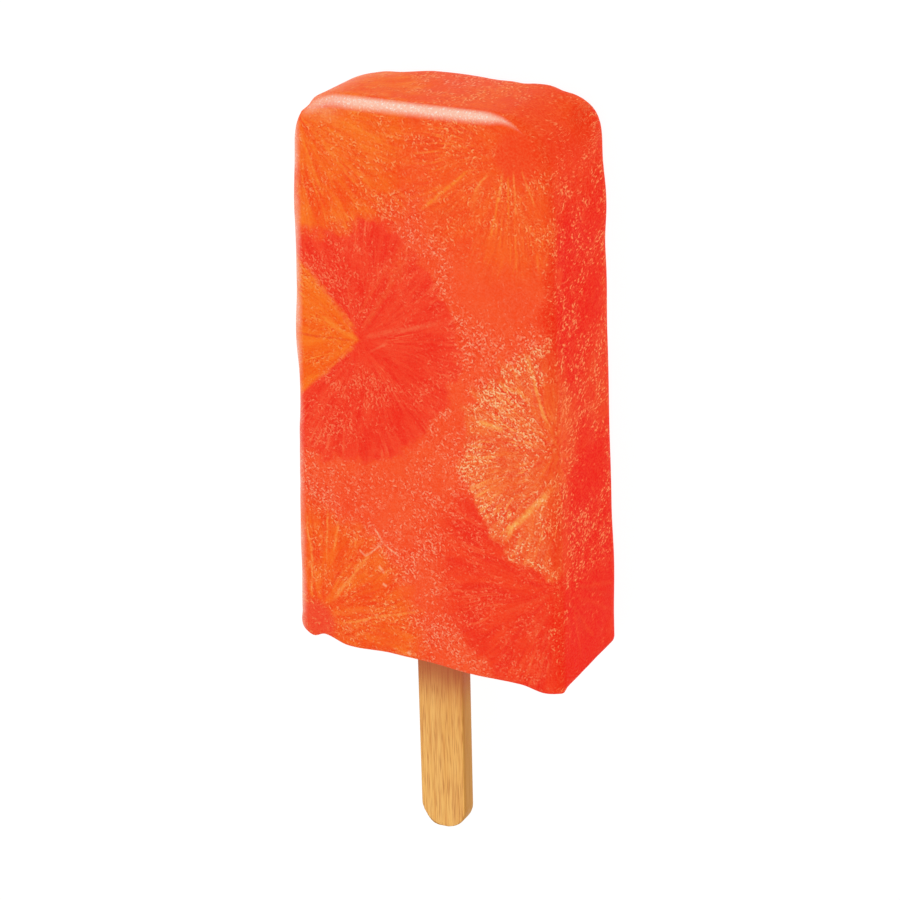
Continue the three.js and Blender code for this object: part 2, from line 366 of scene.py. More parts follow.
def slice_cutter(ball, core, at, radius, facing):
    """A lobed ball round a slice's middle, less the bar's core: it cuts the slice out of the skin.
    `facing` has a 1 for each wall that the slice lies against."""
    cutter = copy_of(ball, "cutter")
    outwards = Vector(facing)
    on_one_wall = outwards.length < 1.01
    depth = radius * (FLAT_REACH if on_one_wall else 1)
    faces_out = Vector((0, 1, 0)).rotation_difference(outwards)
    pole_to_y = Quaternion((1, 0, 0), -math.pi / 2)
    lobes_turned = Quaternion((0, 0, 1), -at[1] / SLICE_LOBES)
    take_up(cutter)
    cutter.rotation_mode = "QUATERNION"
    cutter.scale = Vector((radius, radius, depth)) / 1000
    cutter.rotation_quaternion = faces_out @ pole_to_y @ lobes_turned
    cutter.location = place(*at)
    bpy.ops.object.transform_apply()
    use_modifier(cutter, "BOOLEAN", object=core, operation="DIFFERENCE", solver="MANIFOLD")
    return cutter


# ---------------------------------------------------------------- the stick


def stick_form(name):
    """A flat strip with full-round ends and tumbled edges."""
    middle = (STICK_ASIDE, STICK_LENGTH / 2 - STICK_OUT, STICK_RAISED)
    strip = block(name, middle, (STICK_WIDTH, STICK_LENGTH, STICK_THICKNESS))
    pick_edges(strip, lambda a, b: abs(a.z - b.z) > JUST)
    round_off(STICK_FULL_ROUND / 1000, STICK_END_STEPS)
    pick_edges(strip, lambda a, b: abs(a.z - b.z) < JUST)
    round_off(STICK_EDGE / 1000, STICK_EDGE_STEPS)
    use_modifier(strip, "REMESH", mode="VOXEL", voxel_size=STICK_FACET / 1000)
    use_modifier(strip, "SMOOTH", factor=0.5, iterations=1)
    pull_edge(strip, **STICK_FULLER)
    return strip


# ---------------------------------------------------------------- making

skin = bar_skin()
core = bar_form("core", SLICE_THICKNESS)
ball = lobed_ball()
pieces = []
for plan in SLICES:
    cutter = slice_cutter(ball, core, plan["at"], plan["radius"], plan["facing"])
    piece = copy_of(skin, plan["name"] + "_iced")
    use_modifier(piece, "BOOLEAN", object=cutter, operation="INTERSECT", solver="MANIFOLD")
    use_modifier(skin, "BOOLEAN", object=cutter, operation="DIFFERENCE", solver="MANIFOLD")
    throw_away(cutter)
    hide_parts(plan["name"])
    pieces.append(piece)
throw_away(core)
throw_away(ball)

stick = stick_form("stick_tumbled")
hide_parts("stick")
use_modifier(skin, "BOOLEAN", object=stick, operation="DIFFERENCE", solver="MANIFOLD")
skin.name = "bar_frozen"
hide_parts("bar")

for piece in [skin, stick, *pieces]:
    take_up(piece)
    bpy.ops.object.shade_smooth_by_angle(angle=math.radians(SMOOTH_UP_TO))
    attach(piece, "root")


# ---------------------------------------------------------------- finishes


def linear(colour):
    """An sRGB hex colour as linear RGBA."""
    parts = [int(colour[i : i + 2], 16) / 255 for i in (0, 2, 4)]
    return [c / 12.92 if c <= 0.04045 else ((c + 0.055) / 1.055) ** 2.4 for c in parts] + [1]


def add(tree, kind, inputs=None, **settings):
    """Adds a node with its settings, gives each input a link or a value, and returns its outputs."""
    node = tree.nodes.new(kind if kind.startswith("NodeGroup") else "ShaderNode" + kind)
    for name, value in settings.items():
        setattr(node, name, value)
    for name, value in (inputs or {}).items():
        if isinstance(value, bpy.types.NodeSocket):
            tree.links.new(value, node.inputs[name])
        else:
            node.inputs[name].default_value = value
    return node.outputs


SOFT = {"interpolation_type": "SMOOTHSTEP"}
COLOURS = {"data_type": "RGBA"}


def span(value, start, end, low=0.0, high=1.0):
    """The inputs of a Map Range node that turns start to end into low to high."""
    return {"Value": value, "From Min": start, "From Max": end, "To Min": low, "To Max": high}


def drift(tree, point, scale, detail, size):
    """A slow noise that moves a point up to half a size (x, y, z) to each side."""
    noise = add(tree, "TexNoise", {"Vector": point, "Scale": scale, "Detail": detail})["Color"]
    red, green, blue = add(tree, "SeparateColor", {0: noise})
    moves = add(tree, "CombineXYZ", {0: red, 1: green, 2: blue})[0]
    centred = add(tree, "VectorMath", {0: moves, 1: (0.5, 0.5, 0.5)}, operation="SUBTRACT")[0]
    return add(tree, "VectorMath", {0: centred, 1: size}, operation="MULTIPLY")[0]


def point_in_bar(tree):
    """The point that gets its colour, in millimetres in the bar's own frame."""
    placed = {0: add(tree, "TexCoord")["Object"], 1: (1000, 1000, 1000), 2: place(0, 0, 0) * -1000}
    return add(tree, "VectorMath", placed, operation="MULTIPLY_ADD")[0]


def new_material(name):
    """A material with an empty node tree."""
    material = bpy.data.materials.new(name)
    material.use_nodes = True
    material.node_tree.nodes.clear()
    return material, material.node_tree


def new_group(name, takes, gives):
    """An empty node group, with what it takes and gives as (name, kind of socket) pairs."""
    tree = bpy.data.node_groups.new(name, "ShaderNodeTree")
    for socket, kind in takes:
        tree.interface.new_socket(name=socket, in_out="INPUT", socket_type="NodeSocket" + kind)
    for socket, kind in gives:
        tree.interface.new_socket(name=socket, in_out="OUTPUT", socket_type="NodeSocket" + kind)
    return tree, add(tree, "NodeGroupInput")


# ---------------------------------------------------------------- the pattern in the ice
# One pattern in the bar's frame, in millimetres, for the juice and all slices: it runs on over the
# seams between the pieces, as the ice does.

HALF_TIP = TIP_WIDTH / 2
NARROWING = (FOOT_WIDTH - TIP_WIDTH) / 2 / BAR_LENGTH
THINNING = (FOOT_DEPTH - TIP_DEPTH) / BAR_LENGTH
TIP_ARC_SIDE = HALF_TIP - TIP_CORNER_RADIUS  # the middles of the tip's two corner arcs
TIP_ARC_END = BAR_LENGTH - TIP_CORNER_RADIUS
ROUNDED_OFF = (2.2, 0.3)  # how far in from a wall a point begins to count as on it, and fully does
BACK_SHIFT = (90, 0, 0)  # keeps the back's strokes from being the front's
SEGMENTS = 12  # the segments of a citrus round
ACROSS = {"front": (1, 0, 0), "right": (1, 0, -1), "left": (1, 0, 1), "back": (1, 0, 0)}

# The colours of the ice outside the slices.
JUICE_DEEP = "f94a20"
JUICE_PALE = "fb5628"
JUICE_FLECK = "ffa078"
WALL_RED = "f31002"
WALL_FLECK = "ff9e62"
CORNER_RED = "f63a0c"
HOLLOW_RED = "e62c12"
SHADOW_RED = "e02c14"
# The painted highlight on the edges, with frost in it, and its painted glints.
FROST_AND_HIGHLIGHT = "ffc8b0"
HIGHLIGHT_GLINT = "fff4ea"

# How each slice's flesh looks where it shows in the ice. Dark and light are its broad sectors, bright
# its fibres, deep the gaps between them, fleck its strokes of frost and middle its pith. Gaps, fibres
# and walls are how strongly those show. Amount is the share of frost that it has, rimmed how much more
# its rim has, and softness how wide its rim fades out. Its fibres come from its centre, and off leads
# from there to the middle of its round form, where the two differ.
ORANGE = {
    "dark": "f94a12",
    "light": "fc681a",
    "bright": "fe9038",
    "fleck": "ffa868",
    "deep": "ea3e14",
    "gaps": 0.35,
    "fibres": 0.6,
    "softness": 6,
    "amount": 0.7,
}
BLOOD = {
    **ORANGE,
    "dark": "f5301c",
    "light": "f94822",
    "bright": "fc6a3c",
    "fleck": "ff8058",
    "deep": "ea2218",
    "gaps": 0.4,
    "fibres": 0.4,
}
RED_MIDDLE = (-11.8, 60.4, 23.4)  # the middle of the red slice on the front, and of its orange wedge

# A later one covers the earlier ones.
ROUNDS = [
    # the two on the back
    {
        **BLOOD,
        "centre": (-15, 32, 0.3),
        "radius": 20,
        "softness": 2,
        "facing": "back",
        "walls": 0.5,
    },
    {
        **ORANGE,
        "centre": (7, 78, 0.3),
        "radius": 20.5,
        "softness": 2,
        "facing": "back",
        "walls": 0.5,
    },
    # orange, in the tip's left corner
    {
        **ORANGE,
        "centre": (-24, 100, 22.5),
        "radius": 24,
        "softness": 7,
        "fibres": 0.7,
        "amount": 0.78,
    },
    # red, round the right edge at the foot
    {
        **BLOOD,
        "centre": (26.4, 20.5, 22.5),
        "radius": 23.5,
        "facing": "right",
        "dark": "f32c1a",
        "light": "f94220",
        "fibres": 0.6,
    },
    # orange, in the foot's left corner
    {
        **ORANGE,
        "centre": (-23.3, 3.3, 23.2),
        "off": (-2, -0.3, 0),
        "radius": 24,
        "facing": "left",
        "dark": "f84412",
        "middle": "f5462a",
    },
    # in the tip's right corner, orange on the front and red on the wall
    {
        **ORANGE,
        "centre": (19.2, 97.3, 22.5),
        "radius": 21,
        "softness": 9,
        "dark": "f94c1c",
        "light": "fc5e20",
        "middle": "f84a22",
        "bright": "fe8c34",
        "fibres": 0.5,
    },
    # pale orange, round the right edge in the middle
    {
        **ORANGE,
        "centre": (26.9, 46.2, 22.5),
        "off": (2, -2.7, 0),
        "radius": 21.3,
        "softness": 2,
        "facing": "right",
        "dark": "f4461e",
        "light": "fb702e",
        "bright": "ff9a48",
        "fleck": "ffcc94",
        "deep": "ec4818",
        "gaps": 0.6,
        "fibres": 1.0,
        "amount": 0.9,
        "rimmed": 0.5,
    },
    # red, on the front
    {
        **BLOOD,
        "centre": RED_MIDDLE,
        "off": (-5.2, 0.4, 0),
        "radius": 23.8,
        "softness": 1.8,
        "dark": "f42c1b",
        "light": "f94629",
        "bright": "fc6c42",
        "fibres": 0.8,
    },
]

# The one in the tip's left corner once more, as it also covers the red one on the front.
TOP_ROUND = {
    **ORANGE,
    "centre": (-24, 100, 22.5),
    "radius": 21.5,
    "softness": 3.5,
    "light": "fd7420",
    "gaps": 0.2,
    "amount": 0.75,
}
SWING = 2.4  # radians: how far the strokes in a slice lie off the way to its middle, to both sides

# The wedge of orange flesh in the red slice on the front: its two sides rise and fall this much for
# each millimetre to the left of the middle.
WEDGE = {"dark": "fa5c12", "light": "fd741c", "bright": "ff9e3c", "fleck": "fd9a56"}
WEDGE_RISE = 1.15
WEDGE_FALL = -1.0

# Where the ice is clear, with few flecks, and where it is full of them: the middle, how far it
# reaches, and times as many flecks as elsewhere.
SPOTS = [
    ((15.5, 75, 23), 12, 0.25),
    ((19.2, 97.3, 23), 5, 0.25),
    ((-22.8, 3.1, 23), 4.5, 0.55),
    ((-6, 60, 23), 8, 0.3),
    ((-5, 44, 23), 9, 0.6),
    ((27, 8, 11), 17, 0.2),
    ((26, 38, 10), 9, 0.25),
    ((25, 68, 8), 7, 0.3),
    ((24, 102, 14), 12, 0.5),
    ((-18, 75, 23), 9, 1.8),
    ((-14, 47, 23), 10, 1.7),
    ((-9, 33, 23), 13, 0.6),
    ((26, 25, 15), 11, 1.25),
    ((25, 83, 10), 13, 0.8),
    ((3, 91, 23), 9, 0.65),
]

# The same for how much redder the right wall is than the front.
RED_SPOTS = [
    ((25.5, 53, 3), 11, 0.7),
    ((27, 74, 22), 15, 1.55),
    ((27, 49, 24), 12, 0.45),
    ((27, 31, 8), 13, 1.3),
    ((27, 9, 20), 12, 1.5),
]

# Single strong fibres and walls between segments on the front, by colour: from, to, half the width
# and share.
RAYS = {
    "f9542a": [
        ((-6.0, 71.0), (0.5, 83.5), 2.6, 1.0),
    ],
    "f5502c": [
        ((-11.4, 62.0), (-1.6, 77.5), 0.9, 1.0),
        ((-12.6, 64.0), (-4.6, 77.0), 0.4, 0.9),
        ((26.4, 20.5), (15.0, 13.5), 0.6, 0.6),
        ((26.4, 20.0), (20.0, 8.0), 0.7, 0.6),
    ],
    "f97048": [
        ((-11.8, 60.8), (5.0, 66.6), 0.8, 0.6),
        ((-10.1, 58.3), (-6.1, 60.9), 0.35, 0.7),
    ],
    "ea3c1c": [
        ((-12.5, 60.1), (-25.0, 59.6), 0.45, 0.6),
    ],
    "fd7430": [
        ((19.0, 91.5), (20.5, 84.0), 0.9, 0.6),
        ((13.0, 93.0), (10.0, 86.5), 1.3, 0.6),
        ((-21.0, 4.6), (-9.0, 9.4), 0.8, 0.6),
    ],
    "fd8a2e": [
        ((-12.0, 61.2), (-22.9, 73.0), 1.1, 0.8),
        ((-11.8, 60.4), (-20.0, 63.5), 0.8, 0.8),
        ((-12.5, 59.5), (-21.0, 51.5), 0.5, 0.6),
        ((15.4, 91.0), (14.0, 82.0), 0.35, 0.7),
        ((10.6, 94.3), (0.6, 85.5), 0.5, 0.9),
        ((17.2, 94.5), (17.4, 86.0), 0.3, 0.7),
        ((-21.0, 98.5), (-10.0, 87.0), 0.5, 0.6),
        ((-19.0, 101.0), (-4.0, 96.0), 0.5, 0.5),
        ((-22.5, 97.0), (-17.5, 84.0), 0.5, 0.6),
    ],
    "fe9a48": [
        ((16.3, 94.6), (15.2, 88.6), 0.4, 0.9),
        ((18.2, 95.3), (18.9, 87.0), 0.35, 0.7),
        ((19.5, 95.8), (22.3, 88.8), 0.35, 0.7),
        ((13.6, 93.8), (10.8, 90.0), 0.35, 0.8),
        ((-24.0, 7.5), (-23.4, 20.0), 0.35, 0.9),
        ((-22.6, 9.0), (-24.6, 26.0), 0.35, 0.7),
        ((-20.6, 15.0), (-19.6, 27.5), 0.3, 0.7),
        ((-19.0, 18.0), (-17.6, 24.5), 0.35, 0.9),
        ((-20.0, 7.5), (-10.6, 20.3), 0.55, 0.85),
        ((-18.0, 3.7), (-0.6, 10.8), 0.4, 0.85),
    ],
    "feb054": [
        ((26.0, 40.5), (15.4, 28.2), 0.9, 0.9),
        ((24.5, 50.0), (20.3, 64.0), 0.55, 0.8),
        ((10.6, 49.4), (16.5, 49.0), 0.8, 0.8),
        ((14.8, 57.6), (20.5, 55.5), 0.5, 0.6),
    ],
    "ffb88c": [
        ((-12.6, 18.6), (-8.1, 22.5), 0.3, 0.9),
        ((-10.2, 25.0), (-8.1, 22.2), 0.35, 0.9),
        ((-8.3, 22.4), (-4.9, 20.0), 0.3, 0.9),
        ((-9.5, 17.6), (-8.2, 16.2), 0.5, 0.9),
        ((-8.8, 14.2), (-7.8, 13.8), 0.45, 0.8),
        ((-13.4, 20.0), (-12.2, 18.8), 0.4, 0.8),
        ((-3.9, 1.6), (-3.1, 0.9), 0.6, 0.9),
    ],
}

# The same on the right wall, as places along the bar and up from its back.
WALL_RAYS = {
    "f44018": [
        ((16.5, 19.5), (4.0, 9.5), 0.7, 0.55),
        ((17.0, 19.0), (3.0, 15.5), 0.6, 0.5),
        ((17.5, 18.5), (6.5, 2.0), 0.6, 0.5),
        ((18.5, 17.5), (12.0, 1.5), 0.7, 0.55),
        ((19.5, 17.0), (17.5, 1.0), 0.5, 0.45),
        ((15.0, 20.5), (6.0, 20.6), 0.5, 0.5),
        ((101.5, 22.0), (95.0, 6.5), 0.7, 0.5),
        ((100.0, 21.0), (90.0, 9.0), 0.7, 0.5),
        ((99.0, 21.5), (88.0, 15.0), 0.6, 0.5),
        ((102.0, 21.0), (101.5, 9.0), 0.6, 0.4),
    ],
    "ec2008": [
        ((18.0, 20.5), (5.5, 12.5), 0.9, 0.5),
        ((19.5, 18.5), (9.5, 2.5), 0.9, 0.5),
        ((101.0, 21.0), (92.5, 7.5), 0.8, 0.5),
        ((99.0, 22.0), (88.5, 11.5), 0.8, 0.5),
    ],
}

# Layers of flecks: cells to the millimetre, shift, half the length and half the thickness in cells.
FLECK_LAYERS = [
    ((0.75, 0.75, 0), (0, 0, 0), 0.38, 0.15),
    ((1.0, 1.0, 0), (31.3, 17.7, 0), 0.36, 0.18),
    ((1.35, 1.35, 0), (5.1, 63.9, 0), 0.34, 0.22),
]
FLECK_SHARE = 0.8
SHADOW_SHARE = 0.4


def walls_of_bar():
    """How far a point lies in from each wall, and Sheet: its place on the bar's skin, unfolded."""
    gives = [(name, "Float") for name in ("From right", "From left", "From tip", "From front")]
    tree, given = new_group("walls of the bar", [("Point", "Vector")], [*gives, ("Sheet", "Vector")])
    x, y, z = add(tree, "SeparateXYZ", {0: given["Point"]})
    half = add(tree, "Math", {0: y, 1: -NARROWING, 2: FOOT_WIDTH / 2}, operation="MULTIPLY_ADD")[0]
    from_right = add(tree, "Math", {0: half, 1: x}, operation="SUBTRACT")[0]
    from_left = add(tree, "Math", {0: half, 1: x}, operation="ADD")[0]
    front = add(tree, "Math", {0: y, 1: -THINNING, 2: FOOT_DEPTH}, operation="MULTIPLY_ADD")[0]
    from_front = add(tree, "Math", {0: front, 1: z}, operation="SUBTRACT")[0]
    aside = add(tree, "Math", {0: x}, operation="ABSOLUTE")[0]
    past_side = add(tree, "Math", {0: aside, 1: TIP_ARC_SIDE}, operation="SUBTRACT")[0]
    past_end = add(tree, "Math", {0: y, 1: TIP_ARC_END}, operation="SUBTRACT")[0]
    corner = add(tree, "CombineXYZ", {"X": past_side, "Y": past_end})[0]
    outward = add(tree, "VectorMath", {0: corner, 1: (0, 0, 0)}, operation="MAXIMUM")[0]
    past = add(tree, "VectorMath", {0: outward}, operation="LENGTH")["Value"]
    from_tip = add(tree, "Math", {0: TIP_CORNER_RADIUS, 1: past}, operation="SUBTRACT")[0]

    on_right = add(tree, "MapRange", span(from_right, *ROUNDED_OFF), **SOFT)[0]
    on_left = add(tree, "MapRange", span(from_left, *ROUNDED_OFF), **SOFT)[0]
    on_foot = add(tree, "MapRange", span(y, 1.2, 0.2), **SOFT)[0]
    by_tip = add(tree, "MapRange", span(from_tip, *ROUNDED_OFF), **SOFT)[0]
    high_up = add(tree, "MapRange", span(y, BAR_LENGTH - 10, BAR_LENGTH - 4), **SOFT)[0]
    on_tip = add(tree, "Math", {0: by_tip, 1: high_up}, operation="MULTIPLY")[0]
    across = add(tree, "Math", {0: on_right, 1: on_left}, operation="SUBTRACT")[0]
    along = add(tree, "Math", {0: on_tip, 1: on_foot}, operation="SUBTRACT")[0]
    shorter = add(tree, "Math", {0: from_front, 1: 0.6}, operation="MULTIPLY")[0]
    sheet_x = add(tree, "Math", {0: across, 1: shorter, 2: x}, operation="MULTIPLY_ADD")[0]
    sheet_y = add(tree, "Math", {0: along, 1: shorter, 2: y}, operation="MULTIPLY_ADD")[0]
    sheet = add(tree, "CombineXYZ", {"X": sheet_x, "Y": sheet_y})[0]
    back_sheet = add(tree, "VectorMath", {0: given["Point"], 1: BACK_SHIFT}, operation="ADD")[0]
    on_back = add(tree, "Math", {0: z, 1: 0.9}, operation="LESS_THAN")[0]
    either = add(tree, "Mix", {0: on_back, 4: sheet, 5: back_sheet}, data_type="VECTOR")[1]
    found = {"From right": from_right, "From left": from_left, "From tip": from_tip}
    add(tree, "NodeGroupOutput", {**found, "From front": from_front, "Sheet": either})
    return tree


def citrus_round():
    """Where a point lies in a round slice, and the flesh there. Inside is 1 in the slice and falls
    off at its rim, and Middle is 1 in its pith. Sectors are the broad radial changes of colour,
    Fibres the thin pale radial streaks, Gaps the deeper lines between them, Membranes the walls
    between segments and Rim the band at the edge."""
    places = ("Point", "Bends", "Centre", "Off centre", "Across", "Along")
    measures = ("Wander", "Where", "Radius", "Softness")
    shares = ("Inside", "Middle", "Sectors", "Fibres", "Gaps", "Membranes", "Rim")
    takes = [(name, "Vector") for name in places] + [(name, "Float") for name in measures]
    tree, given = new_group("citrus round", takes, [(name, "Float") for name in shares])
    point = given["Point"]
    offset = add(tree, "VectorMath", {0: point, 1: given["Centre"]}, operation="SUBTRACT")[0]
    in_round = add(tree, "VectorMath", {0: offset, 1: given["Off centre"]}, operation="SUBTRACT")[0]
    distance = add(tree, "VectorMath", {0: in_round}, operation="LENGTH")["Value"]
    from_middle = add(tree, "VectorMath", {0: offset}, operation="LENGTH")["Value"]
    middle = add(tree, "MapRange", span(from_middle, 5.5, 3.0), **SOFT)[0]
    bent = add(tree, "VectorMath", {0: offset, 1: given["Bends"]}, operation="ADD")[0]
    direction = add(tree, "VectorMath", {0: bent}, operation="NORMALIZE")[0]

    across = add(tree, "VectorMath", {0: offset, 1: given["Across"]}, operation="DOT_PRODUCT")["Value"]
    along = add(tree, "VectorMath", {0: offset, 1: given["Along"]}, operation="DOT_PRODUCT")["Value"]
    angle = add(tree, "Math", {0: along, 1: across}, operation="ARCTAN2")[0]
    uneven = add(tree, "TexNoise", {"Vector": direction, "Scale": 2.3, "Detail": 0.0})["Fac"]
    jitter = add(tree, "Math", {0: uneven, 1: 1.6}, operation="MULTIPLY")[0]
    in_segments = SEGMENTS / (2 * math.pi)
    turn = add(tree, "Math", {0: angle, 1: in_segments, 2: jitter}, operation="MULTIPLY_ADD")[0]
    from_wall = add(tree, "Math", {0: turn, 1: 0.5}, operation="PINGPONG")[0]
    arc = add(tree, "Math", {0: from_wall, 1: from_middle}, operation="MULTIPLY")[0]
    wall = add(tree, "MapRange", span(arc, 1.0, 0.3), **SOFT)[0]

    reach = add(tree, "Math", {0: distance, 1: given["Wander"]}, operation="ADD")[0]
    to_rim = add(tree, "Math", {0: given["Radius"], 1: reach}, operation="SUBTRACT")[0]
    softened = add(tree, "Math", {0: to_rim, 1: given["Softness"]}, operation="DIVIDE")[0]
    inside = add(tree, "MapRange", span(softened, -0.5, 0.5), **SOFT)[0]
    rim = add(tree, "MapRange", span(to_rim, 4.5, 1.0), **SOFT)[0]

    # Both noises change fast with the direction from the middle and slowly with the place, so they
    # are drawn out into rays.
    broad = add(tree, "VectorMath", {0: direction, 1: (4.0, 4.0, 4.0)}, operation="MULTIPLY")[0]
    slow = {0: point, 1: (0.1, 0.1, 0.1), 2: broad}
    patch_at = add(tree, "VectorMath", slow, operation="MULTIPLY_ADD")[0]
    broken = {"Scale": 1.0, "Roughness": 0.6}
    patches = add(tree, "TexNoise", {"Vector": patch_at, "Detail": 4.0, **broken})["Fac"]
    sectors = add(tree, "MapRange", span(patches, 0.36, 0.64))[0]

    narrow = add(tree, "VectorMath", {0: direction, 1: (34.0, 34.0, 34.0)}, operation="MULTIPLY")[0]
    slower = {0: point, 1: (0.08, 0.08, 0.08), 2: narrow}
    hair_at = add(tree, "VectorMath", slower, operation="MULTIPLY_ADD")[0]
    hairs = add(tree, "TexNoise", {"Vector": hair_at, "Detail": 2.0, **broken})["Fac"]
    fibres = add(tree, "MapRange", span(hairs, 0.52, 0.68))[0]
    patched = add(tree, "Math", {0: fibres, 1: given["Where"]}, operation="MULTIPLY")[0]
    off_middle = add(tree, "MapRange", span(from_middle, 3.0, 6.0))[0]
    shown = add(tree, "Math", {0: patched, 1: off_middle}, operation="MULTIPLY")[0]
    between = add(tree, "MapRange", span(hairs, 0.47, 0.34))[0]
    gaps = add(tree, "Math", {0: between, 1: off_middle}, operation="MULTIPLY")[0]
    found = {"Inside": inside, "Middle": middle, "Sectors": sectors, "Fibres": shown, "Gaps": gaps}
    add(tree, "NodeGroupOutput", {**found, "Membranes": wall, "Rim": rim})
    return tree


def ray_of_flesh():
    """A straight line on a wall that falls off at its sides and ends, over the others drawn so far."""
    takes = [(name, "Vector") for name in ("Point", "From", "Along", "Across")]
    takes += [("Share", "Float"), ("Others", "Float")]
    tree, given = new_group("ray of flesh", takes, [("Rays", "Float")])
    offset = add(tree, "VectorMath", {0: given["Point"], 1: given["From"]}, operation="SUBTRACT")[0]
    along = add(tree, "VectorMath", {0: offset, 1: given["Along"]}, operation="DOT_PRODUCT")["Value"]
    across = add(tree, "VectorMath", {0: offset, 1: given["Across"]}, operation="DOT_PRODUCT")["Value"]
    off_line = add(tree, "Math", {0: across}, operation="ABSOLUTE")[0]
    line = add(tree, "MapRange", span(off_line, 1.0, 0.0), **SOFT)[0]
    from_middle = add(tree, "Math", {0: along, 1: 0.5}, operation="SUBTRACT")[0]
    to_ends = add(tree, "Math", {0: from_middle}, operation="ABSOLUTE")[0]
    ends = add(tree, "MapRange", span(to_ends, 0.5, 0.3), **SOFT)[0]
    whole = add(tree, "Math", {0: line, 1: ends}, operation="MULTIPLY")[0]
    weak = add(tree, "Math", {0: whole, 1: given["Share"]}, operation="MULTIPLY")[0]
    rays = add(tree, "Math", {0: weak, 1: given["Others"]}, operation="MAXIMUM")[0]
    add(tree, "NodeGroupOutput", {"Rays": rays})
    return tree


def by_spots(tree, point, spots, share):
    """A share times each spot's own, which fades to 1 between half the spot's reach and its reach."""
    for middle, reach, times in spots:
        away = add(tree, "VectorMath", {0: point, 1: middle}, operation="DISTANCE")["Value"]
        there = add(tree, "MapRange", span(away, reach / 2, reach, times, 1.0), **SOFT)[0]
        share = add(tree, "Math", {0: share, 1: there}, operation="MULTIPLY")[0]
    return share


def draw_rays(tree, ray, by_colour, point, share, colour, on_side=False):
    """Lays the rays of each colour over the ice's colour. Their places are across and along the
    front, or on a side wall along the bar and up from its back."""
    out_of_wall = Vector((1, 0, 0) if on_side else (0, 0, 1))
    for shade, rays in by_colour.items():
        drawn = 0.0
        for start, end, half_width, strength in rays:
            start, end = (Vector((0, *p)) if on_side else Vector((*p, 0)) for p in (start, end))
            way = end - start
            facts = {
                "Point": point,
                "From": start,
                "Along": way / way.length_squared,
                "Across": way.cross(out_of_wall).normalized() / half_width,
                "Share": strength,
                "Others": drawn,
            }
            drawn = add(tree, "Group", facts, node_tree=ray)[0]
        shown = add(tree, "Math", {0: drawn, 1: share}, operation="MULTIPLY")[0]
        colour = add(tree, "Mix", {0: shown, 6: colour, 7: linear(shade)}, **COLOURS)[2]
    return colour


def ice_flecks():
    """Short bent strokes, 0.5 to 1 mm long, where crystals and trapped air show pale in the ice: one
    at most in each cell of the unfolded skin. Amount is the share of the cells that have one."""
    measures = ("Half length", "Half thickness", "Amount", "Heading", "Turns")
    takes = [(name, "Vector") for name in ("Sheet", "Cells", "Shift")]
    takes += [(name, "Float") for name in measures]
    tree, given = new_group("ice flecks", takes, [("Flecks", "Float"), ("Shadows", "Float")])
    placed = {0: given["Sheet"], 1: given["Cells"], 2: given["Shift"]}
    point = add(tree, "VectorMath", placed, operation="MULTIPLY_ADD")[0]
    cell = add(tree, "TexVoronoi", {"Vector": point, "Scale": 1.0}, voronoi_dimensions="2D")
    local = add(tree, "VectorMath", {0: point, 1: cell["Position"]}, operation="SUBTRACT")[0]
    lean, bow, chance = add(tree, "SeparateColor", {0: cell["Color"]})
    off_lean = add(tree, "Math", {0: lean, 1: 0.5}, operation="SUBTRACT")[0]
    swung = add(tree, "Math", {0: off_lean, 1: given["Turns"]}, operation="MULTIPLY")[0]
    angle = add(tree, "Math", {0: swung, 1: given["Heading"]}, operation="SUBTRACT")[0]
    turned = add(tree, "VectorRotate", {"Vector": local, "Angle": angle}, rotation_type="Z_AXIS")[0]
    along, across, _ = add(tree, "SeparateXYZ", {0: turned})
    bend = add(tree, "Math", {0: bow, 1: 4.0, 2: -2.0}, operation="MULTIPLY_ADD")[0]
    squared = add(tree, "Math", {0: along, 1: along}, operation="MULTIPLY")[0]
    off_curve = add(tree, "Math", {0: squared, 1: bend, 2: across}, operation="MULTIPLY_ADD")[0]
    thick = add(tree, "Math", {0: off_curve, 1: given["Half thickness"]}, operation="DIVIDE")[0]
    apart = add(tree, "Math", {0: thick}, operation="ABSOLUTE")[0]
    line = add(tree, "MapRange", span(apart, 1.0, 0.2), **SOFT)[0]
    beside = add(tree, "Math", {0: thick, 1: 1.4}, operation="ADD")[0]
    apart_beside = add(tree, "Math", {0: beside}, operation="ABSOLUTE")[0]
    shadow = add(tree, "MapRange", span(apart_beside, 1.0, 0.2), **SOFT)[0]
    out = add(tree, "Math", {0: along}, operation="ABSOLUTE")[0]
    far = add(tree, "Math", {0: out, 1: given["Half length"]}, operation="DIVIDE")[0]
    ends = add(tree, "MapRange", span(far, 1.0, 0.4), **SOFT)[0]
    spare = add(tree, "Math", {0: given["Amount"], 1: chance}, operation="SUBTRACT")[0]
    kept = add(tree, "MapRange", span(spare, 0.0, 0.5))[0]
    shown = add(tree, "Math", {0: ends, 1: kept}, operation="MULTIPLY")[0]
    flecks = add(tree, "Math", {0: shown, 1: line}, operation="MULTIPLY")[0]
    shadows = add(tree, "Math", {0: shown, 1: shadow}, operation="MULTIPLY")[0]
    add(tree, "NodeGroupOutput", {"Flecks": flecks, "Shadows": shadows})
    return tree


